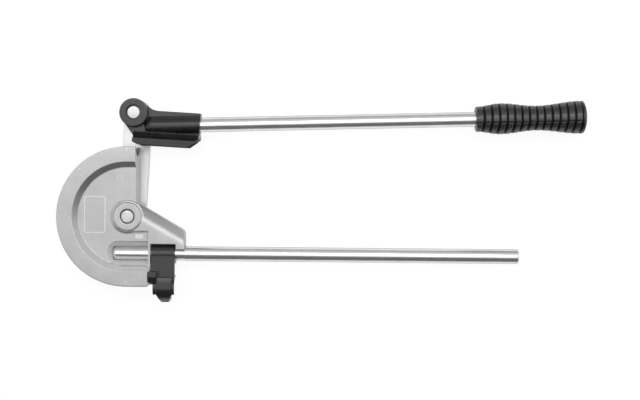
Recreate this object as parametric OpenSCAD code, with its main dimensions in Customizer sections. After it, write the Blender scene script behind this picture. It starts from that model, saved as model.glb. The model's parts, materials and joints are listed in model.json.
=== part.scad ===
// Lever tube bender: a half-round former on a fixed handle, and a shoe on a lever that a link swings round it.
// It lies flat on its link. X runs along the fixed handle and Z is up.
// The origin is on the bend axis, at bench level.

/* [Tube and bend] */
// Outside diameter of the tube that is bent
tube_d = 22; // [20:0.5:24]
// Radius of the bend, to the middle of the tube
bend_r = 77; // [74:1:90]
// Room round the tube in the grooves
tube_play = 0.1; // [0.05:0.05:0.4]
// Angle past a half turn at which the lever rests
overbend = 3; // [0:0.5:6]

/* [Former] */
// Wall on each side of the tube groove
cheek_t = 6; // [4:0.5:9]
// How far the cheeks stop short of the tube's middle
rim_gap = 1.5; // [1:0.1:3]
// Width of the flat rim face that carries the scale
rim_face = 16.7; // [14:0.1:18]
// Depth of the recess inside the rim, on both sides
recess = 8; // [4:0.5:8.5]
// Width of the sloped wall of the recess
recess_slope = 4.8; // [2:0.1:6]
// Straight groove past the end of the bend
top_run = 9; // [6:0.1:12]
// Straight groove ahead of the start of the bend
start_run = 25; // [22:0.5:28]
// Rounding of the former's lower end corner
corner_r = 4; // [2:0.5:6]
// Radius of the hub round the pivot
hub_r = 18.2; // [17:0.1:20]
// Radius of the pivot boss
boss_r = 15; // [12:0.1:16]
// Height of the arm and plateau above the recess floor
plateau_h = 1.5; // [0.5:0.1:3]
// Height of the pivot boss above the plateau
boss_h = 1; // [0.5:0.1:2]
// Width of the pocket's sloped wall round the fixed bar's inner end
pocket_wall = 5.2; // [3:0.1:5.4]
// Distance from the pivot down to the plateau's lower edge
plateau_drop = 16; // [14:0.5:19]

/* [Saddle arm] */
// Slope of the arm's upper edge
arm_slope = 30; // [26:0.5:33]
// Width of the curved band along the arm's upper edge
arm_edge = 16.5; // [12:0.1:16.5]
// Radius of that band's curve
arm_round = 24; // [20:0.5:30]
// Rounding of the arm's far corner
arm_corner = 6; // [5:0.5:11]
// Length of the saddle on the bar
saddle_w = 9; // [7:0.5:11]
// Height of the saddle's lip above the bar's middle
saddle_lip = 4.5; // [3:0.5:6]
// Height of the arm's lower edge above the bar's middle
arm_lip = 10.2; // [10:0.1:10.6]

/* [Handles] */
// Diameter of both handle bars
bar_d = 16; // [15:0.5:17]
// Diameter of the fixed bar's turned end
spigot_d = 15; // [13:0.5:15]
// Distance from the pivot to the fixed bar's axis
bar_drop = 40; // [38:0.5:42]
// Distance from the pivot to the fixed bar's free end
fixed_reach = 425; // [300:5:500]
// Rounding of the bars' free ends
bar_round = 2; // [0.5:0.5:3]
// Rounding of the fixed bar's inner end
spigot_round = 4; // [1:0.5:6]
// Outer diameter of the rib behind the fixed bar's seat
socket_d = 21; // [20:0.5:23]
// Length of the fixed bar inside the former
socket_deep = 41.5; // [36:0.5:42]
// Distance from the shoe pin to the lever's end
lever_reach = 492.2; // [380:0.2:600]
// Distance from the shoe pin down to the lever's axis
lever_drop = 14.3; // [12.5:0.1:15]
// Tilt of the lever against the shoe's sliding face
lever_tilt = 4.7; // [3:0.1:6]

/* [Grip] */
// Length of the hand grip
grip_l = 120.2; // [100:0.2:150]
// Radius at the grip's front end
grip_front_r = 13.8; // [12:0.1:16]
// Radius at the grip's belly
grip_belly_r = 17; // [14:0.1:18]
// Radius at the grip's waist
grip_waist_r = 13.6; // [12:0.1:16]
// Radius at the grip's butt
grip_butt_r = 18; // [15:0.1:19]
// Number of ribs round the grip
grip_ribs = 14; // [10:1:18]
// Depth of the grooves between the ribs
rib_depth = 0.8; // [0.4:0.1:1.4]
// Closed thickness of the grip's butt
butt_t = 6; // [4:0.5:10]
// Distance from the grip's front end to its belly
belly_s = 27; // [20:0.5:34]
// Distance from the grip's front end to its waist
waist_s = 66; // [50:0.5:76]
// Length of the plain ring at the grip's butt
butt_ring = 6; // [5:0.5:9]

/* [Link] */
// Thickness of the link
link_t = 9; // [8:0.5:14]
// Radius of the link round the former pin
link_r = 15.2; // [15:0.1:20]
// Radius of the link round the shoe pin
link_tip_r = 15; // [12:0.1:15]
// Depth of the hollow in the link's back
panel_deep = 1.5; // [0.5:0.1:3]
// Half width of that hollow
panel_r = 7; // [4:0.5:9]

/* [Shoe] */
// Distance from the tube's middle to the shoe pin
shoe_rise = 35.8; // [35:0.1:40]
// Radius of the eye
eye_r = 15.3; // [13:0.1:16]
// Height of the eye's face above the middle plane
eye_h = 13; // [12:0.5:16]
// Height of the shoe's top edge above the pin
top_rise = 3.6; // [1:0.1:4]
// Hollow rounding from the eye into the top edge
neck_round = 22; // [10:1:24]
// Length of the shoe past the pin
shoe_len = 72; // [68:0.5:90]
// Start of the shoe's foot past the pin
foot_start = 0.6; // [0:0.1:3]
// Gap between the rim and the shoe's sliding face
foot_gap = 3.1; // [2.5:0.1:4]
// Height of the slide liner's outer lip
lip_h = 7; // [6:0.1:7.5]
// Height of the shoe's skirt above the lip
skirt_h = 7; // [5:0.1:8]
// Height above the lip at which the shoe's slanted edge meets the skirt's end
heel_rise = 2; // [0.5:0.1:6]
// Half width of the skirt at its top
skirt_w = 14; // [13.5:0.1:16]
// How far the skirt leans in at its foot
skirt_lean = 3; // [0.5:0.1:3.2]
// Half thickness of the shoe's web
shoe_web = 6.4; // [6:0.1:10]
// Outer diameter of the barrel
barrel_d = 23; // [21:0.5:24]
// Start of the barrel past the pin
barrel_start = 11; // [9:0.5:14]
// Length of the bevel at the shoe's far foot
bevel_l = 12; // [8:0.5:14]
// Height of that bevel
bevel_h = 9; // [7.5:0.1:11]

/* [Slide liner] */
// Thickness of the liner round the groove
liner_t = 1.6; // [1:0.1:1.8]
// Half width of the liner's lips
lip_w = 15; // [14.5:0.1:16.5]
// Height of the bevel at the liner's near foot
lip_bevel = 2.5; // [1.5:0.1:5]
// Length of that bevel
lip_bevel_l = 5.5; // [3:0.1:8]
// Diameter of the liner screws
screw_d = 4; // [3:0.5:4.5]

/* [Tube hook] */
// Outer diameter of the hook's sleeve
sleeve_d = 22; // [20:0.5:22]
// Width of the hook
hook_w = 25.6; // [20:0.2:27]
// Gap between the former's end and the hook
hook_gap = 0.9; // [0.5:0.1:4.6]
// Gap between the hook and the saddle
saddle_gap = 1; // [0.5:0.1:3]
// Thickness of the hook's front plate
plate_t = 4.4; // [3:0.1:6]
// Width of the hook's nose
nose_w = 17; // [13:0.5:19]
// How far the nose lies off the hook's middle, away from the former
nose_offset = 2; // [0:0.1:3]
// Width of the nose at its tip
nose_tip_w = 8; // [5:0.5:12]
// Thickness of the nose in front of the tube
nose_t = 4.7; // [3:0.1:6]
// Thickness of the nose below the tube
nose_tip_t = 4.4; // [2.5:0.1:4.5]
// Thickness of the ears beside the nose
ear_t = 2.4; // [1.5:0.1:3]
// How far the ears stop short of the hook's edge at the former
ear_inset = 2.4; // [0.5:0.1:4]
// How far the ears reach below the tube's middle
ear_drop = 7.2; // [4:0.1:10]
// How far the lip reaches behind the tube's middle
hook_lip = 8; // [3:0.5:10]
// How far the stop reaches over the former's face
stop_lap = 1.5; // [1:0.1:3]
// Thickness of the stop
stop_t = 3; // [2:0.1:4]
// Width of the stop along the tube
stop_w = 9.6; // [8:0.1:12]
// Height of the stop
stop_h = 12; // [8:0.5:14]

/* [Pins and fits] */
// Diameter of both pivot pins
pin_d = 12; // [10:0.5:12]
// Diameter of the pin heads
head_d = 13.4; // [13:0.1:14.4]
// Thickness of the pin heads
head_t = 2.6; // [2:0.1:3]
// Wall of the pivot bushes
bush_t = 1.5; // [1:0.1:2]
// Thickness of the thrust washers
washer_t = 1; // [0.5:0.1:2]
// Diameter of the thrust washers
washer_d = 25; // [20:0.5:26]
// Thickness of the circlips
clip_t = 1.2; // [1:0.1:1.5]
// Outer diameter of the circlips
clip_d = 17; // [15.5:0.5:18]
// Diameter of the slotted spring pins
spring_pin_d = 5; // [3:0.5:6]
// Running play of a pin in its bush, on the radius
run_play = 0.05; // [0.02:0.01:0.1]
// End play of the moving pieces
end_play = 0.1; // [0.1:0.05:0.3]
// Play of fixed pieces in their seats, on the radius
seat_play = 0.02; // [0.01:0.01:0.05]

/* [Hidden] */
$fn = 96;
cut = 1;
tangent_bite = 0.05;
tube_r = tube_d / 2;
groove_r = tube_r + tube_play;
flange_r = bend_r - rim_gap;
half_t = tube_r + cheek_t;
mid_z = link_t + washer_t + end_play + half_t;
recess_r = flange_r - rim_face;
web_r = recess_r - recess_slope;
web_h = half_t - recess;
arm_h = web_h + plateau_h;
boss_top = arm_h + boss_h;
step_w = 2.5;
step_r = boss_r + step_w;
step_h = web_h + plateau_h / 2;
socket_r = socket_d / 2;
socket_end = start_run - socket_deep;
socket_wall = 2;
end_wall = 2.5;
pocket_room = 0.5;

bar_r = bar_d / 2;
spigot_r = spigot_d / 2;
hook_x = start_run + hook_gap;
saddle_x = hook_x + hook_w + saddle_gap;
arm_x = saddle_x + saddle_w;
shoulder_x = arm_x + 2 * end_play;
arm_out = [sin(arm_slope), cos(arm_slope)];
hub_h = arm_h - arm_round + sqrt(pow(arm_round, 2) - pow(arm_edge, 2));
arm_cx = arm_x - arm_corner;
arm_cy = (hub_r - arm_corner - arm_out[0] * arm_cx) / arm_out[1];

link_len = bend_r + shoe_rise;
lever_v = link_len - lever_drop;
grip_start = lever_reach - grip_l;
lever_bar_end = lever_reach - butt_t;
butt_s = grip_l - butt_ring;
butt_bevel = 4;

part_v = flange_r + foot_gap;
lip_v = part_v + lip_h;
skirt_v = lip_v + skirt_h;
skirt_foot_w = skirt_w - skirt_lean;
top_v = link_len + top_rise;
neck_rise = neck_round - tangent_bite;
neck_u = sqrt(pow(eye_r + neck_rise, 2) - pow(top_rise + neck_rise, 2));
barrel_r = barrel_d / 2;
barrel_round = 0.8 * barrel_r;
lever_bar_start = barrel_start + barrel_r;
liner_r = groove_r + liner_t;
crown_v = bend_r + groove_r;
screw_r = screw_d / 2;
screw_inset = 15;
screw_u = [barrel_start, shoe_len - screw_inset];
screw_sink = 0.3;
screw_land = 0.3;
screw_head_r = screw_r + liner_t - screw_sink - screw_land;
screw_room = 1.2;
bar_under_v = lever_v + screw_u[1] * tan(lever_tilt) - bar_r / cos(lever_tilt);
screw_l = bar_under_v - crown_v - screw_sink - screw_room;

sleeve_r = sleeve_d / 2;
hook_reach = bend_r - bar_drop;
hook_play = 0.2;
hook_r = groove_r + hook_play;
plate_set = 0.3;
plate_z = sleeve_r - plate_set;
sleeve_room = 0.5;
nose_r = hook_r + (nose_t + nose_tip_t) / 2;
nose_shift = (nose_t - nose_tip_t) / 2;
nose_x = hook_x + hook_w / 2 + nose_offset;
stop_z = half_t + end_play;
stop_x = start_run - stop_lap;
stop_rise = 6;
stop_y = stop_rise - bend_r;

pin_r = pin_d / 2;
head_r = head_d / 2;
head_room = 1.2;
head_hole_r = head_r + head_room;
bush_r = pin_r + run_play + bush_t;
head_sink = 0.5;
former_seat = boss_top - head_sink - head_t - end_play;
shoe_seat = eye_h - head_sink - head_t - end_play;
clip_z = 1.3;
clip_r = clip_d / 2;
clip_bite = 0.8;
clip_groove_r = pin_r - clip_bite;
clip_pocket = clip_z + clip_t + end_play;
clip_room = 1.5;
clip_pocket_r = clip_r + clip_room;
pin_end_z = 0.4;
spring_pin_r = spring_pin_d / 2;
spring_pin_floor = 2.5;
spring_pin_tip = bar_r - spring_pin_floor;
spring_pin_x = socket_end + socket_deep / 2;
spring_pin_s = (lever_bar_start + shoe_len) / 2;

cast_metal = [0.78, 0.78, 0.79];
bright_metal = [0.88, 0.88, 0.88];
bar_metal = [0.70, 0.71, 0.73];
black_coat = [0.16, 0.16, 0.17];
black_rubber = [0.20, 0.20, 0.20];
grey_plastic = [0.29, 0.29, 0.30];
bearing_metal = [0.72, 0.55, 0.30];
dark_steel = [0.45, 0.45, 0.47];

// Frames

// Raises its children to the tube's middle plane
module at_mid() {
    translate([0, 0, mid_z]) children();
}

// Turns its children into the link's frame, with the link along +Y
module on_link() {
    rotate([0, 0, -overbend]) children();
}

// Sets local Z along the fixed bar, from the pivot's level
module along_bar() {
    translate([0, -bar_drop, mid_z]) rotate([0, 90, 0]) children();
}

// Sets local Z along the lever, inside the link's frame at the middle plane
module along_lever() {
    translate([0, lever_v, 0]) rotate([0, 0, lever_tilt]) rotate([0, 90, 0]) children();
}

// Draws a profile given as Y and Z, carried along X for the given length
module along_x(length) {
    rotate([90, 0, 90]) linear_extrude(length) children();
}

// Shared shapes

// Rod along Z whose far rim is rounded
module round_rod(r, l, c) {
    rotate_extrude() {
        square([r, l - c]);
        square([r - c, l]);
        translate([r - c, l - c]) intersection() {
            circle(c);
            square(c);
        }
    }
}

// Flat ring along Z
module ring(outer, inner, h) {
    difference() {
        cylinder(r = outer, h = h);
        translate([0, 0, -cut]) cylinder(r = inner, h = h + 2 * cut);
    }
}

// Pivot pin with a head on top and a circlip groove at its foot
module headed_pin(seat_z) {
    difference() {
        union() {
            translate([0, 0, pin_end_z]) cylinder(r = pin_r, h = seat_z + end_play - pin_end_z);
            translate([0, 0, seat_z + end_play]) cylinder(r = head_r, h = head_t);
        }
        translate([0, 0, clip_z - end_play / 2]) ring(pin_r + cut, clip_groove_r, clip_t + end_play);
    }
}

// Circlip, open on one side
module circlip() {
    slot = 3;
    translate([0, 0, clip_z]) difference() {
        ring(clip_r, clip_groove_r + seat_play, clip_t);
        translate([0, -slot / 2, -cut]) cube([clip_r + cut, slot, clip_t + 2 * cut]);
    }
}

// Slotted spring pin along Z
module spring_pin(length) {
    wall = 1;
    slot = 0.8;
    difference() {
        ring(spring_pin_r, spring_pin_r - wall, length);
        translate([0, -slot / 2, -cut]) cube([spring_pin_r + cut, slot, length + 2 * cut]);
    }
}

// Former

// Cross-section of the rim, as radius and height, with the tube groove in it
module rim_section() {
    difference() {
        polygon([[web_r, web_h], [recess_r, half_t], [flange_r, half_t],
            [flange_r, -half_t], [recess_r, -half_t], [web_r, -web_h]]);
        translate([bend_r, 0]) circle(groove_r);
    }
}

// Rim: half a turn with a straight run at each end
module rim() {
    rotate([0, 0, 90]) rotate_extrude(angle = 180) rim_section();
    along_x(top_run) rim_section();
    mirror([0, 1, 0]) along_x(start_run) rim_section();
}

// Outline of the web inside the rim
module web_plan() {
    reach = web_r + cut;
    intersection() {
        circle(reach);
        translate([-reach, -reach]) square([reach + top_run, 2 * reach]);
    }
    translate([0, -reach]) square([start_run, reach - plateau_drop + cut]);
}

// Waste of the pocket round the fixed bar's inner end: sloped sides and half a cone round the tip
module pocket_waste() {
    tip_x = socket_end + spigot_r;
    foot = spigot_r + pocket_room;
    brim = spigot_r + pocket_wall;
    over = brim + cut * (brim - foot) / web_h;
    side = [[0, 0], [foot, 0], [over, web_h + cut], [0, web_h + cut]];
    translate([tip_x, -bar_drop, 0]) {
        rotate([0, 0, 90]) rotate_extrude(angle = 180) polygon(side);
        along_x(start_run - end_wall - tip_x) {
            polygon(side);
            mirror([1, 0]) polygon(side);
        }
    }
}

// Rib on the back that carries the fixed bar's seat
module seat_rib() {
    length = socket_deep + socket_wall;
    intersection() {
        translate([start_run, -bar_drop, 0]) rotate([0, -90, 0]) round_rod(socket_r, length, socket_r / 2);
        translate([start_run - length - cut, -bar_drop - socket_d, -socket_d - cut])
            cube([length + 2 * cut, 2 * socket_d, socket_d]);
    }
}

// Profile across the arm, as distance from the pivot and height: flat, then curved down to the upper edge.
// It ends slightly inside the hub's tangent, so that the arm's edge crosses the hub instead of touching it.
module arm_section() {
    core = hub_r - arm_edge;
    reach = 2 * arm_x;
    translate([core - reach, -arm_h]) square([reach, 2 * arm_h]);
    intersection() {
        translate([core, arm_h - arm_round]) circle(arm_round);
        translate([core, arm_round - arm_h]) circle(arm_round);
        translate([core, -arm_h - cut]) square([arm_edge - tangent_bite, 2 * (arm_h + cut)]);
    }
}

// Outline of the plateau, the end wall below it, and the arm that reaches over the hook to the saddle
module arm_plan() {
    corner = [arm_cx, arm_cy] + arm_corner * arm_out;
    wall_x = start_run - end_wall;
    polygon([[0, 0], hub_r * arm_out, corner, [arm_x, arm_cy], [arm_x, saddle_lip - bar_drop],
        [saddle_x, saddle_lip - bar_drop], [saddle_x, arm_lip - bar_drop],
        [start_run, arm_lip - bar_drop], [start_run, -recess_r], [wall_x, -recess_r],
        [wall_x, -plateau_drop], [0, -plateau_drop]]);
    translate([arm_cx, arm_cy]) circle(arm_corner);
}

// Arm with its curved upper edge
module arm() {
    intersection() {
        linear_extrude(4 * arm_h, center = true) arm_plan();
        rotate([0, 0, -arm_slope]) along_x(2 * arm_x) arm_section();
    }
}

// Wall that closes the back recess along the former's upper end
module back_wall() {
    translate([top_run - end_wall, 0, -half_t]) cube([end_wall, recess_r, half_t]);
}

// Waste that rounds the lower end corner
module corner_waste() {
    translate([start_run - corner_r, corner_r - flange_r, -half_t - cut]) difference() {
        translate([0, -corner_r - cut, 0]) cube([corner_r + cut, corner_r + cut, 2 * (half_t + cut)]);
        translate([0, 0, -cut]) cylinder(r = corner_r, h = 2 * (half_t + 2 * cut));
    }
}

module former() {
    color(cast_metal) at_mid() difference() {
        union() {
            rim();
            difference() {
                linear_extrude(2 * web_h, center = true) web_plan();
                pocket_waste();
            }
            translate([0, 0, -hub_h]) cylinder(r = hub_r, h = 2 * hub_h);
            arm();
            translate([0, 0, -step_h]) cylinder(r = step_r, h = 2 * step_h);
            translate([0, 0, -half_t]) cylinder(r = boss_r, h = half_t + boss_top);
            seat_rib();
            back_wall();
        }
        corner_waste();
        translate([0, 0, -half_t - cut])
            cylinder(r = bush_r + seat_play, h = half_t + former_seat + cut + end_play);
        translate([0, 0, former_seat]) cylinder(r = head_hole_r, h = half_t);
        translate([0, 0, -mid_z]) along_bar() {
            translate([0, 0, socket_end]) cylinder(r = spigot_r + seat_play, h = arm_x - socket_end + cut);
            translate([0, 0, start_run]) cylinder(r = sleeve_r + sleeve_room, h = saddle_x - start_run);
        }
        translate([spring_pin_x, -bar_drop, -half_t])
            cylinder(r = spring_pin_r + seat_play, h = half_t + spring_pin_tip);
    }
}

module former_bush() {
    length = former_seat + half_t - end_play;
    color(bearing_metal) translate([0, 0, mid_z - half_t + end_play])
        ring(bush_r, pin_r + run_play, length);
}

// Fixed handle

module fixed_bar() {
    color(bar_metal) difference() {
        along_bar() {
            translate([0, 0, shoulder_x + end_play]) mirror([0, 0, 1])
                round_rod(spigot_r, shoulder_x - socket_end, spigot_round);
            translate([0, 0, shoulder_x]) round_rod(bar_r, fixed_reach - shoulder_x, bar_round);
        }
        translate([spring_pin_x, -bar_drop, mid_z - bar_d])
            cylinder(r = spring_pin_r + seat_play, h = bar_d + spring_pin_tip);
    }
}

module fixed_bar_pin() {
    length = socket_r + spring_pin_tip - end_play;
    color(dark_steel) translate([spring_pin_x, -bar_drop, mid_z - socket_r]) spring_pin(length);
}

// Tube hook, drawn as Y and Z from the bar's axis and carried along X

// Sleeve and front plate
module hook_plate() {
    circle(sleeve_r);
    translate([-hook_reach, plate_z - plate_t]) square([hook_reach, plate_t]);
}

// Ears that follow the tube on both sides of the nose
module hook_ears() {
    outer = hook_r + ear_t;
    translate([-hook_reach, 0]) intersection() {
        circle(outer);
        translate([-ear_drop, 0]) square([ear_drop + outer, outer]);
    }
}

// Nose round the front of the tube, and the lip behind it
module hook_nose() {
    tip = nose_r - nose_shift;
    translate([-hook_reach, 0]) {
        intersection() {
            translate([nose_shift, 0]) circle(nose_r);
            translate([-tip, 0]) square([2 * tip, nose_r]);
        }
        translate([-tip, -hook_lip]) square([nose_tip_t, hook_lip + nose_tip_t]);
    }
}

// Front outline of the nose, tapered to its tip
module nose_plan() {
    tip_y = -bend_r - nose_r;
    polygon([[nose_x - nose_w / 2, -bar_drop], [nose_x + nose_w / 2, -bar_drop],
        [nose_x + nose_w / 2, -bend_r - ear_drop], [nose_x + nose_tip_w / 2, tip_y],
        [nose_x - nose_tip_w / 2, tip_y], [nose_x - nose_w / 2, -bend_r - ear_drop]]);
}

// Stop that rests on the former's face
module hook_stop() {
    step_x = start_run + 3 * end_play;
    translate([stop_x, stop_y, mid_z + stop_z]) cube([stop_w, stop_h, stop_t]);
    translate([step_x, stop_y, mid_z + plate_z - plate_t])
        cube([stop_x + stop_w - step_x, stop_h, stop_z + stop_t - plate_z + plate_t]);
}

module tube_hook() {
    color(black_coat) difference() {
        union() {
            translate([hook_x, -bar_drop, mid_z]) along_x(hook_w) hook_plate();
            translate([hook_x + ear_inset, -bar_drop, mid_z]) along_x(hook_w - ear_inset) hook_ears();
            intersection() {
                translate([hook_x, -bar_drop, mid_z]) along_x(hook_w) hook_nose();
                linear_extrude(3 * mid_z) nose_plan();
            }
            hook_stop();
        }
        along_bar() translate([0, 0, stop_x - cut]) cylinder(r = spigot_r + run_play, h = arm_x);
        translate([stop_x - cut, -bend_r, mid_z]) rotate([0, 90, 0]) cylinder(r = hook_r, h = arm_x);
    }
}

// Link and pivots

// Outline of the link: two round ends and a straight-sided body that runs slightly inside their tangents
module link_plan() {
    lean = asin((link_r - link_tip_r) / link_len);
    side = [cos(lean), sin(lean)];
    other = [-side[0], side[1]];
    top = [0, link_len];
    foot_w = link_r - tangent_bite;
    tip_w = link_tip_r - tangent_bite;
    circle(link_r);
    translate(top) circle(link_tip_r);
    polygon([foot_w * side, top + tip_w * side, top + tip_w * other, foot_w * other]);
}

// Outline of the hollow in the link's back
module panel_plan() {
    ends = [link_r + panel_r, link_len - clip_pocket_r - 2 * panel_r];
    translate([-panel_r, ends[0]]) square([2 * panel_r, ends[1] - ends[0]]);
    for (v = ends)
        translate([0, v]) circle(panel_r);
}

module link_arm() {
    color(bright_metal) on_link() difference() {
        linear_extrude(link_t) link_plan();
        translate([0, 0, -cut]) linear_extrude(panel_deep + cut) panel_plan();
        for (v = [0, link_len])
            translate([0, v, -cut]) {
                cylinder(r = pin_r + seat_play, h = link_t + 2 * cut);
                cylinder(r = clip_pocket_r, h = clip_pocket + cut);
            }
    }
}

module former_pin() {
    color(bright_metal) headed_pin(mid_z + former_seat);
}

module former_washer() {
    color(dark_steel) translate([0, 0, link_t]) ring(washer_d / 2, pin_r + run_play, washer_t);
}

module former_pin_clip() {
    color(dark_steel) on_link() circlip();
}

module shoe_pin() {
    color(bright_metal) on_link() translate([0, link_len, 0]) headed_pin(mid_z + shoe_seat);
}

module shoe_washer() {
    color(dark_steel) on_link() translate([0, link_len, link_t])
        ring(washer_d / 2, pin_r + run_play, washer_t);
}

module shoe_pin_clip() {
    color(dark_steel) on_link() translate([0, link_len, 0]) circlip();
}

// Shoe

// Outline of the shoe's web, from the foot to the eye.
// Its roundings run slightly into the eye and the top edge, so that they cross them instead of touching.
module shoe_plan() {
    eye = [0, link_len];
    heel = [foot_start, lip_v + heel_rise];
    away = heel - eye;
    inner_r = eye_r - tangent_bite;
    turn = atan2(away[1], away[0]) - acos(inner_r / norm(away));
    tangent = eye + inner_r * [cos(turn), sin(turn)];
    neck = [neck_u, top_v + neck_rise];
    translate(eye) circle(eye_r);
    difference() {
        polygon([[foot_start, lip_v], heel, tangent, eye, neck, [neck_u, top_v],
            [shoe_len, top_v], [shoe_len, lip_v]]);
        translate(neck) circle(neck_round);
    }
}

// Cross-section of the skirt over the liner, as Y and Z
module skirt_section() {
    polygon([[lip_v, -skirt_foot_w], [lip_v, skirt_foot_w], [skirt_v, skirt_w], [skirt_v, -skirt_w]]);
}

// Waste below the bevel at the far foot
module bevel_waste() {
    run = bevel_l / bevel_h;
    far = shoe_len + bevel_l;
    polygon([[shoe_len - bevel_l - run * cut, part_v - cut], [shoe_len, part_v + bevel_h],
        [far, part_v + bevel_h + bevel_h], [far, part_v - cut]]);
}

// Holes for the liner screws
module screw_holes() {
    for (u = screw_u)
        translate([u, crown_v - cut, 0]) rotate([-90, 0, 0])
            cylinder(r = screw_r + seat_play, h = screw_l + screw_sink + cut);
}

module shoe() {
    color(black_coat) on_link() at_mid() difference() {
        union() {
            linear_extrude(2 * shoe_web, center = true) shoe_plan();
            translate([0, link_len, -half_t]) cylinder(r = eye_r, h = half_t + eye_h);
            translate([foot_start, 0, 0]) along_x(shoe_len - foot_start) skirt_section();
            intersection() {
                along_lever() translate([0, 0, 2 * shoe_len]) mirror([0, 0, 1])
                    round_rod(barrel_r, 2 * shoe_len - barrel_start, barrel_round);
                translate([0, 0, -barrel_d]) cube([shoe_len, 2 * link_len, 2 * barrel_d]);
            }
        }
        linear_extrude(4 * half_t, center = true) bevel_waste();
        translate([-cut, bend_r, 0]) rotate([0, 90, 0])
            cylinder(r = liner_r + seat_play, h = shoe_len + 2 * cut);
        along_lever() translate([0, 0, lever_bar_start]) cylinder(r = bar_r + seat_play, h = shoe_len);
        translate([0, link_len, -half_t - cut])
            cylinder(r = bush_r + seat_play, h = half_t + shoe_seat + cut + end_play);
        translate([0, link_len, shoe_seat]) cylinder(r = head_hole_r, h = half_t);
        screw_holes();
        along_lever() translate([0, 0, spring_pin_s]) rotate([0, 90, 0])
            translate([0, 0, -spring_pin_tip]) cylinder(r = spring_pin_r + seat_play, h = 2 * half_t);
    }
}

module shoe_bush() {
    length = shoe_seat + half_t - end_play;
    color(bearing_metal) on_link() translate([0, link_len, mid_z - half_t + end_play])
        ring(bush_r, pin_r + run_play, length);
}

// Cross-section of the liner, as Y and Z: a channel round the tube with a lip along each side
module liner_section() {
    difference() {
        union() {
            translate([part_v, -lip_w]) square([lip_h - seat_play, 2 * lip_w]);
            intersection() {
                translate([bend_r, 0]) circle(liner_r);
                translate([part_v, -liner_r]) square([2 * liner_r, 2 * liner_r]);
            }
        }
        translate([bend_r, 0]) circle(groove_r);
    }
}

module slide_insert() {
    color(grey_plastic) on_link() at_mid() difference() {
        translate([foot_start, 0, 0]) along_x(shoe_len - foot_start) liner_section();
        linear_extrude(4 * half_t, center = true) {
            bevel_waste();
            polygon([[foot_start - cut, part_v - cut], [foot_start - cut, part_v + lip_bevel],
                [foot_start, part_v + lip_bevel], [foot_start + lip_bevel_l, part_v],
                [foot_start + lip_bevel_l, part_v - cut]]);
        }
        screw_holes();
        for (u = screw_u)
            translate([u, crown_v + screw_sink, 0]) rotate([-90, 0, 0]) {
                cylinder(r1 = screw_head_r + seat_play, r2 = screw_r + seat_play, h = screw_head_r - screw_r);
                mirror([0, 0, 1]) cylinder(r = screw_head_r + seat_play, h = 2 * cut);
            }
    }
}

module slide_screws() {
    socket_w = 2.5;
    socket_t = 1;
    color(dark_steel) on_link() at_mid() for (u = screw_u)
        translate([u, crown_v + screw_sink, 0]) rotate([-90, 0, 0]) difference() {
            union() {
                cylinder(r1 = screw_head_r, r2 = screw_r, h = screw_head_r - screw_r);
                cylinder(r = screw_r, h = screw_l - end_play);
            }
            translate([0, 0, -cut]) cylinder(d = socket_w, h = socket_t + cut, $fn = 6);
        }
}

// Moving handle

module lever_bar() {
    color(bar_metal) on_link() at_mid() along_lever() difference() {
        translate([0, 0, lever_bar_start + end_play])
            round_rod(bar_r, lever_bar_end - lever_bar_start - 2 * end_play, bar_round);
        translate([-spring_pin_tip, 0, spring_pin_s]) rotate([0, 90, 0])
            cylinder(r = spring_pin_r + seat_play, h = bar_d + spring_pin_tip);
    }
}

module lever_bar_pin() {
    length = barrel_r + spring_pin_tip - end_play;
    color(dark_steel) on_link() at_mid() along_lever() translate([barrel_r - length, 0, spring_pin_s])
        rotate([0, 90, 0]) spring_pin(length);
}

// Smooth step from one value to another as t runs from 0 to 1
function ease(from, to, t) = from + (to - from) * (1 - cos(180 * t)) / 2;

// Radius of the grip at a distance s from its front end
function grip_r(s) =
    s < belly_s ? ease(grip_front_r, grip_belly_r, s / belly_s)
    : s < waist_s ? ease(grip_belly_r, grip_waist_r, (s - belly_s) / (waist_s - belly_s))
    : ease(grip_waist_r, grip_butt_r, (s - waist_s) / (butt_s - waist_s));

module lever_grip() {
    pitch = butt_s / grip_ribs;
    corners = [[0, 1], [0.18, 0], [0.68, 0], [0.86, 1]];
    bore = grip_l - butt_t;
    ribs = [for (i = [0 : grip_ribs - 1]) for (c = corners) let (s = (i + c[0]) * pitch)
        [grip_r(s) - c[1] * rib_depth, s]];
    shoulder = [grip_butt_r - butt_bevel / 4, grip_l - butt_bevel / 2];
    butt = [[grip_butt_r, butt_s], shoulder, [grip_butt_r - butt_bevel, grip_l], [0, grip_l]];
    inside = [[0, bore], [bar_r + seat_play, bore], [bar_r + seat_play, 0]];
    color(black_rubber) on_link() at_mid() along_lever() translate([0, 0, grip_start])
        rotate_extrude() polygon(concat(ribs, butt, inside));
}

former();
former_bush();
fixed_bar();
fixed_bar_pin();
tube_hook();
link_arm();
former_pin();
former_washer();
former_pin_clip();
shoe_pin();
shoe_washer();
shoe_pin_clip();
shoe();
shoe_bush();
slide_insert();
slide_screws();
lever_bar();
lever_bar_pin();
lever_grip();
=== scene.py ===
import json
import math

import bmesh
import bpy
from mathutils import Matrix, Vector


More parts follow.
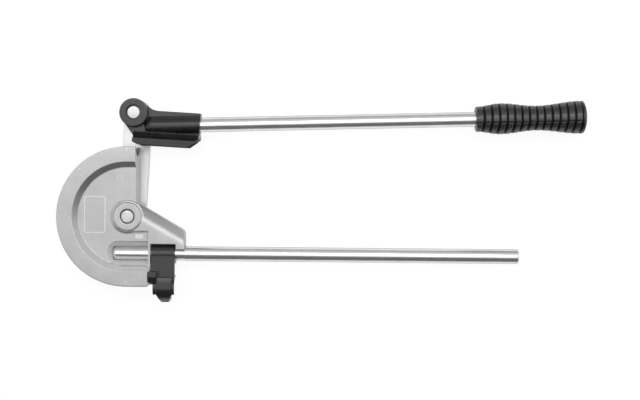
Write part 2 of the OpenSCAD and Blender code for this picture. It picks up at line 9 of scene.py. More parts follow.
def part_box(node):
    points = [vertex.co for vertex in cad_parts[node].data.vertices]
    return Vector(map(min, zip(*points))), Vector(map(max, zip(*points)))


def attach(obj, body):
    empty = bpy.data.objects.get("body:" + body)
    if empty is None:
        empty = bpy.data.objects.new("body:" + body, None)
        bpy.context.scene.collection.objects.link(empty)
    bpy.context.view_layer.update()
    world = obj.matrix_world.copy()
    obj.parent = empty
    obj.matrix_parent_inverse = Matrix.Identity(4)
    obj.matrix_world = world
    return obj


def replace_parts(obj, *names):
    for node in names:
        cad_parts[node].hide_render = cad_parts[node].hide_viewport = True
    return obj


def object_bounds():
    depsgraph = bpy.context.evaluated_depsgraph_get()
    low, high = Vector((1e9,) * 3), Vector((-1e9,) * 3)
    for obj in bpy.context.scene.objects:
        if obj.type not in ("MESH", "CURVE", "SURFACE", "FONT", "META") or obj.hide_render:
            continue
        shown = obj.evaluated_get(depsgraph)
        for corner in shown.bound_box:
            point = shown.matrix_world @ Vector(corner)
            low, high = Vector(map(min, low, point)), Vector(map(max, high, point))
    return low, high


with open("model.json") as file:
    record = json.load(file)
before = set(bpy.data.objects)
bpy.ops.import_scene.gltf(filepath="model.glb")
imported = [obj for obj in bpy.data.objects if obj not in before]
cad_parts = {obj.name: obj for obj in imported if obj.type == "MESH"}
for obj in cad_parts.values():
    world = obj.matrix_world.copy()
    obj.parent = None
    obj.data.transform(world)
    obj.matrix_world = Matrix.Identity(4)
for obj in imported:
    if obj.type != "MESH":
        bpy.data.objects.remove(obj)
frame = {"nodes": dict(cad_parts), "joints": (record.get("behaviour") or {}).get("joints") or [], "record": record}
cad_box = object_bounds()

MM = 0.001
WHITE = (1.0, 1.0, 1.0, 1.0)

# Name of the point attribute that marks the grooves of the grip
GROOVE = "groove"

# Places and sizes, in metres, from the frame's joints and boxes
JOINTS = {joint["name"]: joint for joint in frame["joints"]}
PIVOT = Vector(JOINTS["arm_swing"]["pos_m"])
SHOE_PIVOT = Vector(JOINTS["lever_swing"]["pos_m"])
FORMER_LOW, FORMER_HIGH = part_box("former")
RIM_R = -FORMER_LOW.x
RIM_Z = FORMER_HIGH.z
MID_Z = PIVOT.z

# Height of the web's face above the middle plane
WEB_H = 9.0 * MM
WEB_Z = MID_Z + WEB_H

# Direction of the lever: the arm rests past the half turn, and the lever leans the other way
ARM_LEAN = math.radians(-3.0)
LEVER_TILT = math.radians(4.7)


# Materials


def grey(level):
    """An opaque neutral colour."""
    return (level, level, level, 1.0)


class Look:
    """A procedural material, built round one Principled shader."""

    def __init__(self, name, **values):
        self.material = bpy.data.materials.new(name)
        self.material.use_nodes = True
        self.tree = self.material.node_tree
        self.shader = self.tree.nodes["Principled BSDF"]
        self.coords = self.tree.nodes.new("ShaderNodeTexCoord").outputs["Object"]
        self.set(**values)

    def set(self, **values):
        """Sets the shader's own sockets, such as metallic=1.0."""
        for key, value in values.items():
            socket = key.replace("_", " ").title().replace("Ior", "IOR")
            self.shader.inputs[socket].default_value = value

    def join(self, source, target):
        """Links one socket to another."""
        self.tree.links.new(source, target)

    def feed(self, value, target):
        """Gives a socket a fixed value, or joins another socket to it."""
        if isinstance(value, bpy.types.NodeSocket):
            self.join(value, target)
        else:
            target.default_value = value

    def axis(self, vector, name):
        """One of the axes X, Y and Z of a vector socket."""
        split = self.tree.nodes.new("ShaderNodeSeparateXYZ")
        self.join(vector, split.inputs["Vector"])
        return split.outputs[name]

    def stretched(self, scale, turn=0.0):
        """The object's coordinates, turned about Z and scaled differently along each axis."""
        mapping = self.tree.nodes.new("ShaderNodeMapping")
        mapping.vector_type = "POINT"
        mapping.inputs["Rotation"].default_value = (0.0, 0.0, turn)
        mapping.inputs["Scale"].default_value = scale
        self.join(self.coords, mapping.inputs["Vector"])
        return mapping.outputs["Vector"]

    def noise(self, size, detail=3.0, roughness=0.55, coords=None):
        """Noise from 0 to 1 whose spots are about the given size in metres."""
        noise = self.tree.nodes.new("ShaderNodeTexNoise")
        noise.inputs["Scale"].default_value = 1.0 / size
        noise.inputs["Detail"].default_value = detail
        noise.inputs["Roughness"].default_value = roughness
        self.join(coords or self.coords, noise.inputs["Vector"])
        return noise.outputs["Fac"]

    def rings(self, pitch):
        """Rings round the object's own Z axis, as a lathe leaves them."""
        pitch_at_scale_one = 0.31
        unevenness = 0.6
        wave = self.tree.nodes.new("ShaderNodeTexWave")
        wave.wave_type = "RINGS"
        wave.rings_direction = "Z"
        wave.inputs["Scale"].default_value = pitch_at_scale_one / pitch
        wave.inputs["Distortion"].default_value = unevenness
        self.join(self.coords, wave.inputs["Vector"])
        return wave.outputs["Fac"]

    def attribute(self, name):
        """A value that the mesh carries on its points; 0 where it has none."""
        node = self.tree.nodes.new("ShaderNodeAttribute")
        node.attribute_name = name
        return node.outputs["Fac"]

    def edges(self, low=0.50, high=0.62):
        """1 on outer edges and 0 on flats and in corners."""
        geometry = self.tree.nodes.new("ShaderNodeNewGeometry")
        return self.span(geometry.outputs["Pointiness"], 0.0, 1.0, low, high)

    def walls(self, low=0.60, high=0.93):
        """1 on upright walls and 0 on faces that look up or down."""
        flatness = self.tree.nodes.new("ShaderNodeMath")
        flatness.operation = "ABSOLUTE"
        normal = self.coords.node.outputs["Normal"]
        self.join(self.axis(normal, "Z"), flatness.inputs[0])
        return self.span(flatness.outputs["Value"], 1.0, 0.0, low, high)

    def near(self, low, high):
        """1 round the object's own Z axis out to the distance low, 0 beyond the distance high."""
        away = self.tree.nodes.new("ShaderNodeVectorMath")
        away.operation = "LENGTH"
        self.join(self.stretched((1.0, 1.0, 0.0)), away.inputs[0])
        return self.span(away.outputs["Value"], 1.0, 0.0, low, high)

    def span(self, source, start, end, low=0.3, high=0.7):
        """Carries low to high of a source over to start to end, each a value or a socket."""
        rng = self.tree.nodes.new("ShaderNodeMapRange")
        rng.inputs["From Min"].default_value = low
        rng.inputs["From Max"].default_value = high
        self.feed(start, rng.inputs["To Min"])
        self.feed(end, rng.inputs["To Max"])
        self.join(source, rng.inputs["Value"])
        return rng.outputs["Result"]

    def mix(self, factor, first, second):
        """A colour between two, each a colour or a socket."""
        mix = self.tree.nodes.new("ShaderNodeMix")
        mix.data_type = "RGBA"
        self.join(factor, mix.inputs["Factor"])
        for name, value in (("A", first), ("B", second)):
            socket = next(s for s in mix.inputs if s.name == name and s.type == "RGBA")
            self.feed(value, socket)
        return next(s for s in mix.outputs if s.type == "RGBA")

    def colour(self, source):
        """Takes the shader's colour from a socket."""
        self.join(source, self.shader.inputs["Base Color"])

    def roughness(self, source):
        """Takes the shader's roughness from a socket."""
        self.join(source, self.shader.inputs["Roughness"])

    def metal(self, source):
        """Takes how far the shader is a metal from a socket."""
        self.join(source, self.shader.inputs["Metallic"])

    def gloss(self, source):
        """Takes the strength of a coat's reflection from a socket."""
        self.join(source, self.shader.inputs["Specular IOR Level"])

    def bump(self, *layers):
        """Stacks bump layers, each a height source, its depth in metres and its strength."""
        normal = None
        for height, depth, strength in layers:
            bump = self.tree.nodes.new("ShaderNodeBump")
            bump.inputs["Strength"].default_value = strength
            bump.inputs["Distance"].default_value = depth
            self.join(height, bump.inputs["Height"])
            if normal:
                self.join(normal, bump.inputs["Normal"])
            normal = bump.outputs["Normal"]
        self.join(normal, self.shader.inputs["Normal"])


def make_casting(name, dull, bright):
    """Blasted aluminium casting: cloudy, finely grained, polished a little on its edges.

    Inside the groove, the walls of its lower half are painted pale, dull and less metallic: painted light,
    standing in for the light that falls on them from above.
    """
    face_metal = 0.65
    # Painted light: the pale colour, metal and roughness of the lit lower walls in the groove, and how far out
    # they reach
    lit_wall_metal = 0.20
    lit_wall_level = 0.85
    lit_wall_roughness = 0.60
    lit_wall_r, groove_r = 66 * MM, 72 * MM
    fade = 15 * MM
    look = Look(name)
    clouds = look.noise(22 * MM, detail=4.0)
    grain = look.noise(0.9 * MM, detail=4.0, roughness=0.7)
    body = look.mix(look.span(clouds, 0.0, 1.0), grey(dull), grey(bright))
    body = look.mix(look.span(grain, 0.0, 0.35), body, grey(0.8 * dull))
    face = look.mix(look.edges(), body, grey(0.68))
    # Painted light: upright walls in the lower half of the groove take a pale colour, as if lit from above
    lower = look.span(look.axis(look.coords, "Y"), look.near(lit_wall_r, groove_r), 0.0, -fade, fade)
    lit_walls = look.span(look.walls(), 0.0, lower, 0.0, 1.0)
    look.colour(look.mix(lit_walls, face, grey(lit_wall_level)))
    look.roughness(look.span(lit_walls, look.span(grain, 0.25, 0.37), lit_wall_roughness, 0.0, 1.0))
    look.metal(look.span(lit_walls, face_metal, lit_wall_metal, 0.0, 1.0))
    look.bump((clouds, 0.25 * MM, 0.25), (grain, 0.10 * MM, 0.35))
    return look.material


def make_link_metal():
    """Satin aluminium plate with a faint lengthwise grain."""
    look = Look("link_metal", metallic=0.9)
    clouds = look.noise(30 * MM)
    grain = look.noise(1.0 * MM, detail=4.0, coords=look.stretched((2.5, 0.08, 2.5), -ARM_LEAN))
    look.colour(look.mix(look.span(clouds, 0.0, 1.0), grey(0.62), grey(0.68)))
    look.roughness(look.span(grain, 0.30, 0.46))
    look.bump((grain, 0.04 * MM, 0.25))
    return look.material


def make_bar_metal():
    """Bright plated bar with drawing lines and a slight haze."""
    look = Look("bar_metal", metallic=1.0, specular_tint=grey(0.4))
    haze = look.noise(18 * MM, detail=4.0)
    lines = look.noise(0.8 * MM, detail=3.0, coords=look.stretched((0.02, 1.6, 1.6)))
    dull = (0.80, 0.805, 0.815, 1.0)
    bright = (0.86, 0.865, 0.875, 1.0)
    look.colour(look.mix(look.span(haze, 0.0, 1.0), dull, bright))
    look.roughness(look.span(lines, 0.22, 0.30))
    look.bump((lines, 0.01 * MM, 0.12))
    return look.material


def make_pin_metal():
    """Turned and plated steel with fine lathe rings."""
    look = Look("pin_metal", metallic=0.9)
    rings = look.rings(0.35 * MM)
    haze = look.noise(4 * MM)
    look.colour(look.mix(look.span(haze, 0.0, 1.0), grey(0.46), grey(0.56)))
    look.roughness(look.span(rings, 0.26, 0.38, 0.0, 1.0))
    look.bump((rings, 0.02 * MM, 0.2))
    return look.material


def make_hardware():
    """Dark phosphated steel."""
    look = Look("hardware", metallic=0.85)
    grain = look.noise(0.7 * MM, detail=4.0)
    look.colour(look.mix(look.span(grain, 0.0, 1.0), grey(0.30), grey(0.42)))
    look.roughness(look.span(grain, 0.38, 0.55))
    look.bump((grain, 0.03 * MM, 0.2))
    return look.material


def make_black_coat():
    """Satin black coat over a casting: fine orange peel, a little bare along the edges."""
    look = Look("black_coat", specular_ior_level=0.6)
    peel = look.noise(1.1 * MM, detail=3.0, roughness=0.6)
    clouds = look.noise(14 * MM, detail=3.0)
    body = look.mix(look.span(clouds, 0.0, 1.0), grey(0.011), grey(0.018))
    look.colour(look.mix(look.edges(0.53, 0.70), body, grey(0.045)))
    look.roughness(look.span(peel, 0.24, 0.34))
    look.bump((peel, 0.06 * MM, 0.35))
    return look.material


def make_slide_plastic():
    """Moulded grey-black plastic with a fine grain."""
    look = Look("slide_plastic", specular_ior_level=0.5)
    grain = look.noise(0.6 * MM, detail=4.0, roughness=0.65)
    clouds = look.noise(12 * MM)
    look.colour(look.mix(look.span(clouds, 0.0, 1.0), grey(0.032), grey(0.044)))
    look.roughness(look.span(grain, 0.42, 0.58))
    look.bump((grain, 0.06 * MM, 0.4))
    return look.material


def make_rubber():
    """Moulded rubber, with painted shade in the grooves: coloured darker there, and reflecting less than on the
    ribs.
    """
    look = Look("grip_rubber")
    grain = look.noise(0.5 * MM, detail=3.0, roughness=0.6)
    clouds = look.noise(10 * MM, detail=3.0)
    groove = look.attribute(GROOVE)
    body = look.mix(look.span(clouds, 0.0, 1.0), grey(0.022), grey(0.034))
    # Painted shade: the grooves are coloured near black and given a weak reflection
    look.colour(look.mix(look.span(groove, 0.0, 1.0), body, grey(0.006)))
    look.gloss(look.span(groove, 0.80, 0.10))
    look.roughness(look.span(grain, 0.26, 0.38))
    look.bump((grain, 0.05 * MM, 0.3))
    return look.material


def make_bearing():
    """Bearing bronze, coloured near black as painted shade, so that the ring it shows round each pin head reads as
    a shaded gap.
    """
    look = Look("bearing", metallic=1.0)
    haze = look.noise(3 * MM, detail=4.0)
    # Painted shade: two near-black tones for the shaded gap round the pin heads
    shaded_bronze = (0.10, 0.095, 0.085, 1.0)
    paler_shaded_bronze = (0.16, 0.15, 0.135, 1.0)
    look.colour(look.mix(look.span(haze, 0.0, 1.0), shaded_bronze, paler_shaded_bronze))
    look.roughness(look.span(haze, 0.26, 0.40))
    look.bump((haze, 0.02 * MM, 0.2))
    return look.material


LOOKS = {
    "casting": make_casting("casting", 0.44, 0.51),
    "link": make_link_metal(),
    "bar": make_bar_metal(),
    "pin": make_pin_metal(),
    "hardware": make_hardware(),
    "black_coat": make_black_coat(),
    "slide": make_slide_plastic(),
    "grip": make_rubber(),
    "bearing": make_bearing(),
}


# Mesh helpers


def add_piece(name, mesh, body, slot, look=None):
    """Links a mesh in the row frame as a piece of a body, in its slot's look or another."""
    piece = bpy.data.objects.new(name, mesh)
    bpy.context.scene.collection.objects.link(piece)
    mesh.materials.clear()
    mesh.materials.append(look or LOOKS[slot])
    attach(piece, body)
    return piece


def evaluated(piece):
    """The piece's mesh with its modifiers applied."""
    graph = bpy.context.evaluated_depsgraph_get()
    return bpy.data.meshes.new_from_object(piece.evaluated_get(graph))


def with_modifiers(mesh, *modifiers):
    """A new mesh: the given one after a list of (type, settings) modifiers."""
    carrier = bpy.data.objects.new("carrier", mesh)
    bpy.context.scene.collection.objects.link(carrier)
    for kind, settings in modifiers:
        modifier = carrier.modifiers.new(kind.lower(), kind)
        for key, value in settings.items():
            setattr(modifier, key, value)
    result = evaluated(carrier)
    bpy.data.objects.remove(carrier)
    return result


def soft_solid(node, voxel, rounds, faces, *changes):
    """A CAD solid's mesh with every edge rounded, as in a casting or moulding.

    Each change is a boolean operation and its tool, made before the rounding.
    """
    rounded = with_modifiers(
        frame["nodes"][node].data.copy(),
        ("WELD", {"merge_threshold": 0.01 * MM}),
        *(("BOOLEAN", {"operation": operation, "object": tool}) for operation, tool in changes),
        ("REMESH", {"mode": "VOXEL", "voxel_size": voxel}),
        ("SMOOTH", {"factor": 0.5, "iterations": rounds}),
        ("TRIANGULATE", {}),
    )
    ratio = min(1.0, faces / len(rounded.polygons))
    thinned = with_modifiers(rounded, ("DECIMATE", {"ratio": ratio}))
    thinned.shade_smooth()
    return thinned


def soft_piece(name, node, body, slot, voxel, rounds, faces, *changes):
    """Adds a rounded copy of a CAD node that stands for it."""
    piece = add_piece(name, soft_solid(node, voxel, rounds, faces, *changes), body, slot)
    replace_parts(piece, node)


def prism(outline, start, end):
    """An unlinked tool: a convex (y, z) outline carried along X from start to end."""
    bm = bmesh.new()
    first, last = ([bm.verts.new((x, y, z)) for y, z in outline] for x in (start, end))
    bm.faces.new(first)
    bm.faces.new(last)
    for i in range(len(outline)):
        bm.faces.new((first[i - 1], first[i], last[i], last[i - 1]))
    bmesh.ops.recalc_face_normals(bm, faces=bm.faces)
    mesh = bpy.data.meshes.new("prism")
    bm.to_mesh(mesh)
    bm.free()
    return bpy.data.objects.new("prism", mesh)


# Lower edge of the hook's front plate
PLATE_EDGE = -65.0 * MM


def stop_slope():
    """The wedge cut off the hook's stop, so that its front slopes down from the plate's edge."""
    slope = math.radians(20.0)
    run = 12.0 * MM
    width = 12.0 * MM
    overlap = 1.0 * MM
    fall = run * math.tan(slope)
    low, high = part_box("tube_hook")
    end = PLATE_EDGE - run
    top = high.z + fall
    outline = [(PLATE_EDGE, high.z), (end, high.z - fall), (end, top), (PLATE_EDGE, top)]
    return prism(outline, low.x - overlap, low.x + width)


def nose_crown():
    """The crown of the hook's nose, a flat curve from the plate's edge to the top over the tube."""
    left, right = 32.2 * MM, 49.2 * MM
    tube_y = -77.0 * MM
    crest_y = -73.5 * MM
    crest_z = MID_Z + 15.84 * MM
    under_edge_z = MID_Z + 10.2 * MM
    under_tube_z = MID_Z + 12.5 * MM
    curve_r = 30.0 * MM
    steps = 12
    outline = [(PLATE_EDGE, under_edge_z)]
    for i in range(steps + 1):
        y = PLATE_EDGE + (crest_y - PLATE_EDGE) * i / steps
        outline.append((y, crest_z - curve_r + math.sqrt(curve_r ** 2 - (y - crest_y) ** 2)))
    outline += [(tube_y, crest_z), (tube_y, under_tube_z)]
    return prism(outline, left, right)


def lathe(profile, steps):
    """A closed mesh of revolution about Z from (radius, height) points, first and last on the axis."""
    bm = bmesh.new()
    rows = []
    angles = [2.0 * math.pi * i / steps for i in range(steps)]
    for radius, height in profile:
        ring = [(radius * math.cos(a), radius * math.sin(a), height) for a in angles]
        points = ring if radius > 0.0 else [(0.0, 0.0, height)]
        rows.append([bm.verts.new(point) for point in points])
    for low, high in zip(rows, rows[1:]):
        for i in range(steps):
            k = (i + 1) % steps
            corners = [low[i % len(low)], low[k % len(low)], high[k % len(high)], high[i % len(high)]]
            bm.faces.new(list(dict.fromkeys(corners)))
    mesh = bpy.data.meshes.new("lathe")
    bm.to_mesh(mesh)
    bm.free()
    mesh.shade_smooth()
    return mesh


# Castings and mouldings


soft_piece("former_casting", "former", "former", "casting", 0.5 * MM, 7, 70000)
soft_piece("shoe_casting", "shoe", "lever", "black_coat", 0.4 * MM, 6, 40000)
soft_piece("slide_liner", "slide_insert", "lever", "slide", 0.3 * MM, 3, 20000)
soft_piece("hook_casting", "tube_hook", "hook", "black_coat", 0.3 * MM, 6, 24000,
           ("DIFFERENCE", stop_slope()), ("UNION", nose_crown()))
soft_piece("link_plate", "link_arm", "link", "link", 0.4 * MM, 4, 16000)


# Raised marks on the former


def raised(curve, relief):
    """Lets a curve stand out of a face by the relief, sunk as far below it, with rounded edges."""
    bevel = 0.08 * MM
    curve.extrude = relief
    curve.bevel_depth = bevel
    curve.bevel_resolution = 2
    curve.offset = -bevel


def text_curve(body, height, relief):
    """A raised number about its own middle."""
    curve = bpy.data.curves.new("mark", "FONT")
    curve.body = body
    curve.size = height
    curve.align_x = "CENTER"
    curve.align_y = "CENTER"
    raised(curve, relief)
    return curve


def outline_curve(loops, relief):
    """A flat filled shape from closed loops of points; a loop inside another is a hole."""
    curve = bpy.data.curves.new("mark", "CURVE")
    curve.dimensions = "2D"
    curve.fill_mode = "BOTH"
    for loop in loops:
        spline = curve.splines.new("POLY")
        spline.points.add(len(loop) - 1)
        for point, (x, y) in zip(spline.points, loop):
            point.co = (x, y, 0.0, 1.0)
        spline.use_cyclic_u = True
    raised(curve, relief)
    return curve


def round_box(width, height, corner, steps=6):
    """Points of a rectangle with rounded corners, about its own middle."""
    points = []
    for quarter, (sx, sy) in enumerate(((1, 1), (-1, 1), (-1, -1), (1, -1))):
        cx, cy = sx * (width / 2 - corner), sy * (height / 2 - corner)
        for i in range(steps + 1):
            angle = math.pi / 2 * (quarter + i / steps)
            points.append((cx + corner * math.cos(angle), cy + corner * math.sin(angle)))
    return points


def ring_loops(radius, width, steps=40):
    """The outer and the inner loop of a flat ring."""
    angles = [2.0 * math.pi * i / steps for i in range(steps)]
    return [[(r * math.cos(a), r * math.sin(a)) for a in angles] for r in (radius, radius - width)]


MARK_RELIEF = 0.45 * MM


def scale_marks():
    """The numbers and ticks of the degree scale on the rim, each a curve and its place."""
    text_h = 5.4 * MM
    text_r = RIM_R - 11.2 * MM
    tick_r = RIM_R - 3.6 * MM
    tick_box = round_box(0.9 * MM, 4.2 * MM, 0.4 * MM)
    face = Vector((0.0, 0.0, RIM_Z))
    parts = []
    for degrees in (0, 45, 90, 135, 180):
        angle = math.radians(degrees)
        out = Vector((-math.sin(angle), -math.cos(angle), 0.0))
        flip = math.pi if degrees < 90 else 0.0
        turn = Matrix.Rotation(math.atan2(out.y, out.x) - math.pi / 2 + flip, 4, "Z")
        number = text_curve(str(degrees), text_h, MARK_RELIEF)
        parts.append((number, Matrix.Translation(out * text_r + face) @ turn))
        tick = outline_curve([tick_box], MARK_RELIEF)
        parts.append((tick, Matrix.Translation(out * tick_r + face) @ turn))
    return parts


def web_marks():
    """The plain frame, pad and ring on the web, each a curve and its place."""
    frame_w, frame_h, line = 23.5 * MM, 40.0 * MM, 1.3 * MM
    outer = round_box(frame_w, frame_h, 3.0 * MM)
    inner = round_box(frame_w - 2 * line, frame_h - 2 * line, 1.8 * MM)
    pad = round_box(8.5 * MM, 4.6 * MM, 1.2 * MM)
    ring = ring_loops(3.2 * MM, 0.8 * MM)
    parts = []
    for loops, (x, y) in (([outer, inner], (-35.3, 1.7)), ([pad], (12.8, -21.6)), (ring, (-8.6, 41.5))):
        place = Matrix.Translation((x * MM, y * MM, WEB_Z))
        parts.append((outline_curve(loops, MARK_RELIEF), place))
    return parts


def joined(parts):
    """One mesh of curves, each at its place."""
    whole = bmesh.new()
    for curve, place in parts:
        carrier = bpy.data.objects.new("mark", curve)
        bpy.context.scene.collection.objects.link(carrier)
        mesh = evaluated(carrier)
        bpy.data.objects.remove(carrier)
        mesh.transform(place)
        whole.from_mesh(mesh)
        bpy.data.meshes.remove(mesh)
    marks = bpy.data.meshes.new("former_marks")
    whole.to_mesh(marks)
    whole.free()
    return marks


marks_mesh = joined(scale_marks() + web_marks())
# The raised marks are coloured lighter than the casting round them
add_piece("former_marks", marks_mesh, "former", "casting", make_casting("lighter_marks", 0.62, 0.70))


# Turned pivot pins


def make_pin(name, node, centre):
    """Adds a headed pin with rounded rims and a slightly domed face that stands for a CAD pin."""
    low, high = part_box(node)
    head_r = (high.x - low.x) / 2
    shank_r = 6.0 * MM
    head_t = 2.6 * MM
    rim = 0.5 * MM
    rim_steps = 6
    sides = 72
    # The dome of the head: shares of its radius and the rise there
    dome = ((0.6, 0.10 * MM), (0.3, 0.14 * MM), (0.0, 0.15 * MM))
    top = high.z - dome[-1][1]
    neck = high.z - head_t
    profile = [(0.0, low.z), (shank_r - rim, low.z), (shank_r, low.z + rim), (shank_r, neck),
               (head_r - rim / 2, neck), (head_r, neck + rim / 2)]
    for i in range(rim_steps + 1):
        angle = math.pi / 2 * i / rim_steps
        profile.append((head_r - rim + rim * math.cos(angle), top - rim + rim * math.sin(angle)))
    profile += [(head_r * share, top + rise) for share, rise in dome]
    pin = add_piece(name, lathe(profile, sides), "link", "pin")
    pin.matrix_world = Matrix.Translation((centre.x, centre.y, 0.0))
    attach(pin, "link")
    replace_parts(pin, node)


make_pin("former_pin_turned", "former_pin", PIVOT)
make_pin("shoe_pin_turned", "shoe_pin", SHOE_PIVOT)


# Grip


def smooth_step(low, high, value):
    """0 up to low and 1 from high on, with a smooth rise between them."""
    t = min(1.0, max(0.0, (value - low) / (high - low)))
    return t * t * (3.0 - 2.0 * t)


def ease(start, end, t):
    """A wave from start to end as t goes from 0 to 1."""
    return start + (end - start) * (1.0 - math.cos(math.pi * t)) / 2.0


# Where the lever's line passes the shoe pin, and where the grip starts along it
LEVER_DROP = 14.3 * MM
GRIP_START = 372.0 * MM

# Length of the grip, and of its ribbed part from the front end to the butt
GRIP_L = 120.2 * MM
BUTT_S = 114.2 * MM
GRIP_RIBS = 14
RIB_DEPTH = 1.2 * MM


def grip_radius(s):
    """The grip's outer radius at a distance from its front end."""
    front, belly, waist, butt = (r * MM for r in (13.8, 17.0, 13.6, 18.0))
    belly_s, waist_s = 27.0 * MM, 66.0 * MM
    if s < belly_s:
        return ease(front, belly, s / belly_s)
    if s < waist_s:
        return ease(belly, waist, (s - belly_s) / (waist_s - belly_s))
    return ease(waist, butt, min(1.0, (s - waist_s) / (BUTT_S - waist_s)))


def rib_groove(s, angle):
    """How deep a point of the grip lies in its grooves, from 0 on a rib to about 1.5.

    Rings run over the top, and slanted notches along the lower side, below a seam.
    """
    pitch = BUTT_S / GRIP_RIBS
    seam = 5.5 * MM
    seam_half = 0.6 * MM
    seam_depth = 0.5
    slant = 0.2
    rib_lean = 0.3
    deepest = 1.5
    aside = grip_radius(s) * math.sin(angle)
    lower = smooth_step(seam - seam_half, seam + seam_half, aside)
    share = s / pitch % 1.0
    slanted = (s + slant * (aside - seam)) / pitch % 1.0
    ring = 1.0 - smooth_step(0.06, 0.22, min(share, 1.0 - share))
    notch = 1.0 - smooth_step(0.13, 0.26, min(slanted, 1.0 - slanted))
    line = seam_depth * math.exp(-((aside - seam) / seam_half) ** 2)
    rings = max(ring, rib_lean * (1.0 - share))
    notches = 0.2 + 0.8 * notch
    fade = smooth_step(0.0, 2.0 * MM, s)
    return fade * min(deepest, (1.0 - lower) * rings + lower * notches + line)


def rib_cut(s, angle):
    """How far a point of the grip lies below its ribs; the grooves run out towards both sides."""
    flatten = 1.0 - 0.6 * smooth_step(0.7, 1.0, abs(math.sin(angle)))
    return RIB_DEPTH * flatten * rib_groove(s, angle)


def make_grip():
    """The ribbed grip in its own frame, Y along the bar, with an open front and a domed butt."""
    around = 180
    along = 270
    dome_steps = 12
    inner_r = 8.1 * MM
    edge = 0.7 * MM
    edge_s = 1.2 * MM
    dome_s = BUTT_S + 1.4 * MM
    bm = bmesh.new()
    rows = []
    grooves = []
    angles = [2.0 * math.pi * i / around for i in range(around)]

    def row(radii, s, depths=None):
        """Adds a ring of points at a distance from the front, and how deep each lies in a groove."""
        ring = [(r * math.sin(a), s, r * math.cos(a)) for r, a in zip(radii, angles)]
        rows.append([bm.verts.new(point) for point in ring])
        grooves.extend(depths or [0.0] * around)

    # The front face, from the bore to the rounded edge
    row([inner_r] * around, 1.5 * MM)
    row([inner_r] * around, 0.4 * MM)
    row([grip_radius(0.0) - 1.6 * MM] * around, 0.0)
    row([grip_radius(0.0) - edge] * around, 0.12 * MM)
    for i in range(1, along + 1):
        s = BUTT_S * i / along
        lead = edge * (1.0 - smooth_step(0.0, edge_s, s))
        radii = [grip_radius(s) - lead - rib_cut(s, a) for a in angles]
        row(radii, s, [rib_groove(s, a) for a in angles])
    # A shallow step, and the dome of the butt
    butt_r = grip_radius(BUTT_S) - 0.1 * MM
    row([butt_r - 0.3 * MM] * around, BUTT_S + 0.7 * MM)
    for i in range(dome_steps):
        angle = math.pi / 2 * i / dome_steps
        row([butt_r * math.cos(angle)] * around, dome_s + (GRIP_L - dome_s) * math.sin(angle))
    for low, high in zip(rows, rows[1:]):
        for i in range(around):
            k = (i + 1) % around
            bm.faces.new((low[i], low[k], high[k], high[i]))
    bm.faces.new(rows[-1])
    bmesh.ops.recalc_face_normals(bm, faces=bm.faces)
    mesh = bpy.data.meshes.new("grip")
    bm.to_mesh(mesh)
    bm.free()
    mesh.attributes.new(GROOVE, "FLOAT", "POINT").data.foreach_set("value", grooves)
    mesh.shade_smooth()
    return mesh


def lever_frame():
    """The lever's own frame: Y along the bar from the shoe pin's level, Z up."""
    along = Matrix.Rotation(ARM_LEAN, 4, "Z")
    start = SHOE_PIVOT + along @ Vector((0.0, -LEVER_DROP, 0.0))
    turn = Matrix.Rotation(ARM_LEAN + LEVER_TILT - math.pi / 2, 4, "Z")
    return Matrix.Translation(start) @ turn


grip_mesh = make_grip()
grip_mesh.transform(lever_frame() @ Matrix.Translation((0.0, GRIP_START, 0.0)))
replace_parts(add_piece("grip_moulding", grip_mesh, "lever", "grip"), "lever_grip")


# Finish of the CAD nodes that stay in view

for subpart in frame["record"]["subparts"]:
    node = frame["nodes"][subpart["node"]]
    node.data.materials.clear()
    node.data.materials.append(LOOKS[subpart["material_slot"]])


# Stage: floor, cards, lamps, world and camera


def light_path(tree, *names):
    """1 for the named kinds of ray, 0 for the others."""
    path = tree.nodes.new("ShaderNodeLightPath")
    total = path.outputs[names[0]]
    for name in names[1:]:
        most = tree.nodes.new("ShaderNodeMath")
        most.operation = "MAXIMUM"
        tree.links.new(total, most.inputs[0])
        tree.links.new(path.outputs[name], most.inputs[1])
        total = most.outputs["Value"]
    return total


# The kinds of ray that show a surface, directly or in a reflection
SEEN = ("Is Camera Ray", "Is Glossy Ray", "Is Transmission Ray")


def make_floor_material():
    """A floor that is mostly its own white where it is seen and otherwise lit, with a soft shadow."""
    own_white = 0.90
    paper_level = 0.22
    material = bpy.data.materials.new("floor")
    material.use_nodes = True
    tree = material.node_tree
    tree.nodes.clear()
    glow = tree.nodes.new("ShaderNodeEmission")
    scaled = tree.nodes.new("ShaderNodeMath")
    scaled.operation = "MULTIPLY"
    scaled.inputs[1].default_value = own_white
    tree.links.new(light_path(tree, *SEEN), scaled.inputs[0])
    tree.links.new(scaled.outputs["Value"], glow.inputs["Strength"])
    paper = tree.nodes.new("ShaderNodeBsdfDiffuse")
    paper.inputs["Color"].default_value = grey(paper_level)
    both = tree.nodes.new("ShaderNodeAddShader")
    tree.links.new(glow.outputs["Emission"], both.inputs[0])
    tree.links.new(paper.outputs["BSDF"], both.inputs[1])
    out = tree.nodes.new("ShaderNodeOutputMaterial")
    tree.links.new(both.outputs["Shader"], out.inputs["Surface"])
    return material


def card_material(name, level, glow):
    """Matt card of a grey level, which may give off a little light of its own."""
    material = bpy.data.materials.new(name)
    material.use_nodes = True
    shader = material.node_tree.nodes["Principled BSDF"]
    shader.inputs["Base Color"].default_value = grey(level)
    shader.inputs["Roughness"].default_value = 1.0
    shader.inputs["Emission Color"].default_value = WHITE
    shader.inputs["Emission Strength"].default_value = glow
    return material


def add_sheet(name, corners, material):
    """A flat sheet of the stage with four corners."""
    mesh = bpy.data.meshes.new(name)
    mesh.from_pydata(corners, [], [(0, 1, 2, 3)])
    mesh.materials.append(material)
    sheet = bpy.data.objects.new(name, mesh)
    bpy.context.scene.collection.objects.link(sheet)
    return sheet


middle = (cad_box[0] + cad_box[1]) / 2

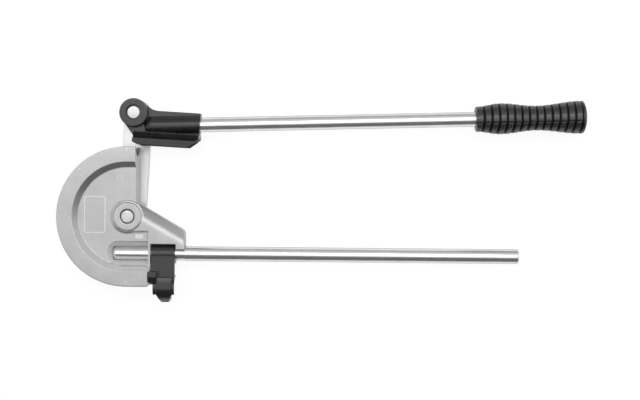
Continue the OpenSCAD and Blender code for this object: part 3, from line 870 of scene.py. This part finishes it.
# How far the floor reaches from the origin
REACH = 4.0
add_sheet("floor", [(-REACH, -REACH, 0), (REACH, -REACH, 0), (REACH, REACH, 0), (-REACH, REACH, 0)],
          make_floor_material())


def add_card(name, low, high, level, glow=0.0):
    """Adds a studio card along X between two (y, z) edges, hidden from the camera."""
    half = 2.0
    left, right = middle.x - half, middle.x + half
    corners = [(left, *low), (right, *low), (right, *high), (left, *high)]
    card = add_sheet(name, corners, card_material(name, level, glow))
    card.visible_camera = False
    card.visible_shadow = False


add_card("dark_card", (-1.2, 0.02), (-1.2, 1.6), 0.35)
add_card("shade_card", (-1.2, 1.6), (-0.47, 1.68), 0.9)
add_card("grey_card", (1.2, 0.02), (1.2, 2.2), 0.9, 0.12)


def add_lamp(name, place, target, size, radiance):
    """Adds a soft rectangular lamp of the given radiance that looks from its place to a target."""
    lamp = bpy.data.lights.new(name, "AREA")
    lamp.shape = "RECTANGLE"
    lamp.size, lamp.size_y = size
    lamp.energy = radiance * math.pi * size[0] * size[1]
    lamp_object = bpy.data.objects.new(name, lamp)
    lamp_object.location = place
    lamp_object.rotation_euler = (Vector(target) - Vector(place)).to_track_quat("-Z", "Y").to_euler()
    lamp_object.visible_camera = False
    bpy.context.scene.collection.objects.link(lamp_object)


add_lamp("softbox", (middle.x, 0.08, 1.6), (middle.x, 0.08, 0.0), (2.2, 1.05), 0.50)
add_lamp("key", (middle.x, 0.5, 1.55), (middle.x, 0.02, 0.0), (1.6, 0.22), 3.4)
add_lamp("fill", (middle.x, 1.15, 0.8), (middle.x, 0.0, MID_Z), (2.4, 1.3), 0.20)


def make_world():
    """A white room as seen, and a plain fill light on matt surfaces."""
    fill_level = 0.42
    seen_level = 1.0
    world = bpy.data.worlds.new("studio")
    bpy.context.scene.world = world
    world.use_nodes = True
    tree = world.node_tree
    back = tree.nodes["Background"]
    back.inputs["Color"].default_value = WHITE
    level = tree.nodes.new("ShaderNodeMapRange")
    level.inputs["To Min"].default_value = fill_level
    level.inputs["To Max"].default_value = seen_level
    tree.links.new(light_path(tree, *SEEN), level.inputs["Value"])
    tree.links.new(level.outputs["Result"], back.inputs["Strength"])


make_world()


def add_camera():
    """The photograph's view: straight down, a little turned, over the middle of the tool."""
    distance = 1.15
    place_x, place_y = 208.2 * MM, 19.8 * MM
    turn = math.radians(0.544)
    picture_pixels = 640
    pixel_mm = 1.091
    view_width = picture_pixels * pixel_mm * MM
    camera = bpy.data.cameras.new("camera")
    camera.sensor_width = 36.0
    camera.lens = camera.sensor_width * distance / view_width
    camera.clip_end = 20.0
    camera_object = bpy.data.objects.new("camera", camera)
    camera_object.location = (place_x, place_y, MID_Z + distance)
    camera_object.rotation_euler = (0.0, 0.0, turn)
    bpy.context.scene.collection.objects.link(camera_object)
    bpy.context.scene.camera = camera_object


add_camera()
bpy.context.scene.view_settings.view_transform = "Standard"
